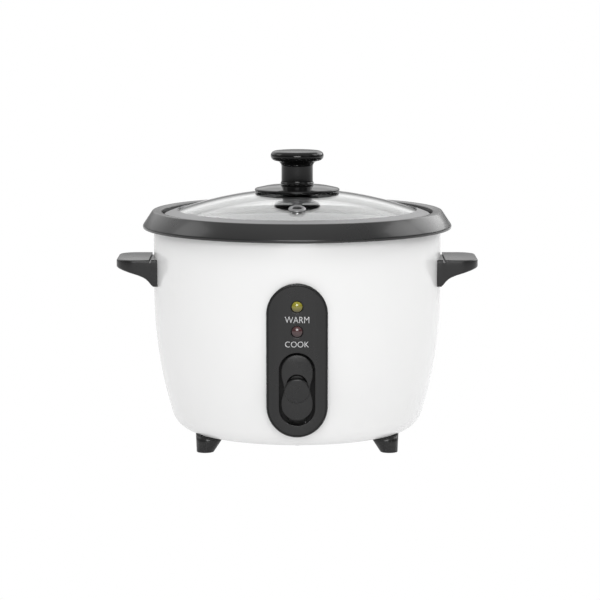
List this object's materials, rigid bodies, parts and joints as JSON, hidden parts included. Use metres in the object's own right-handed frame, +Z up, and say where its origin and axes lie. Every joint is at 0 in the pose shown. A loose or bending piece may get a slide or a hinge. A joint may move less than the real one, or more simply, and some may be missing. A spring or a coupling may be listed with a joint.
{
  "type": "electric rice cooker",
  "caption": "White electric rice cooker with lift-out coated pot, glass lid with knob, side handles and a press-down cook switch.",
  "frame": {"origin": "on the table under the middle of the cooker", "axes": "+Z up, front towards -Y, +X towards the handle on the right of the front view"},
  "size_m": [0.2874, 0.247, 0.2359],
  "materials": {
    "white_paint": "gloss white enamel",
    "black_plastic": "charcoal plastic, satin",
    "coated_pot": "dark grey non-stick coating, satin",
    "steel": "stainless steel",
    "galvanised": "galvanised sheet",
    "aluminium": "cast or pressed aluminium, satin",
    "glass": "clear tempered glass",
    "amber": "amber lamp lens or button",
    "red": "dull red lamp lens",
    "brass": "brass",
    "ferrite": "dark ferrite",
    "silicone": "grey silicone washer",
    "lead": "glass-braided wire insulation"
  },
  "bodies": {
    "base": {"outer_body": "white_paint", "base_cover": "galvanised", "inner_liner": "galvanised", "thermostat_housing": "galvanised", "lever_bracket": "galvanised", "cover_screw_1": "steel", "cover_screw_2": "steel", "cover_screw_3": "steel", "foot_screw_left": "steel", "foot_screw_right": "steel", "foot_screw_rear": "steel", "heating_element": "steel", "element_terminal_right": "steel", "element_terminal_left": "steel", "plate_support": "steel", "sensor_spring": "steel", "magnet_spring": "steel", "lever_pin": "steel", "handle_screw_right_1": "steel", "handle_screw_right_2": "steel", "handle_screw_left_1": "steel", "handle_screw_left_2": "steel", "foot_left": "black_plastic", "foot_right": "black_plastic", "foot_rear": "black_plastic", "microswitch": "black_plastic", "control_panel": "black_plastic", "lamp_holder": "black_plastic", "handle_right": "black_plastic", "handle_left": "black_plastic", "power_inlet": "black_plastic", "heating_plate": "aluminium", "warm_lens": "amber", "cook_lens": "red", "warm_lamp": "glass", "cook_lamp": "glass", "inlet_pin_live": "brass", "inlet_pin_neutral": "brass", "inlet_pin_earth": "brass", "thermal_fuse": "brass", "lead_neutral": "lead", "lead_live": "lead", "lead_earth": "lead", "lead_heater": "lead"},
    "pot": {"inner_pot": "coated_pot"},
    "lid": {"lid_glass": "glass", "lid_band": "steel", "vent_eyelet": "steel", "knob_skirt": "black_plastic", "lid_knob": "black_plastic", "lid_boss": "black_plastic", "lid_washer": "silicone", "lid_screw": "steel"},
    "switch": {"switch_lever": "galvanised", "switch_paddle": "black_plastic"},
    "magnet_group": {"magnet": "ferrite", "magnet_rod": "steel"},
    "sensor": {"sensor_cap": "aluminium", "ferrite": "ferrite"},
    "button": {"microswitch_button": "amber"}
  },
  "joints": [
    {"name": "pot_lift", "type": "slide", "parent": "base", "child": "pot", "axis": [0, 0, 1], "range_m": [0, 0.14]},
    {"name": "lid_lift", "type": "slide", "parent": "pot", "child": "lid", "axis": [0, 0, 1], "range_m": [0, 0.06]},
    {"name": "cook_switch", "type": "hinge", "parent": "base", "child": "switch", "pos_m": [0, -0.066, 0.036], "axis": [1, 0, 0], "range_deg": [0, 4.2]},
    {"name": "magnet_rise", "type": "slide", "parent": "base", "child": "magnet_group", "axis": [0, 0, 1], "range_m": [0, 0.005], "stiffness_N_per_m": 40, "springref_m": -0.008, "deforming": ["magnet_spring"]},
    {"name": "sensor_press", "type": "slide", "parent": "base", "child": "sensor", "axis": [0, 0, 1], "range_m": [-0.0015, 0], "stiffness_N_per_m": 250, "springref_m": 0.004, "deforming": ["sensor_spring"]},
    {"name": "button_press", "type": "slide", "parent": "base", "child": "button", "axis": [0, 0, 1], "range_m": [0, 0.0016]}
  ],
  "couplings": [
    {"joint": "magnet_rise", "follows": "cook_switch", "m_per_rad": 0.066},
    {"joint": "button_press", "follows": "cook_switch", "m_per_rad": 0.021}
  ]
}
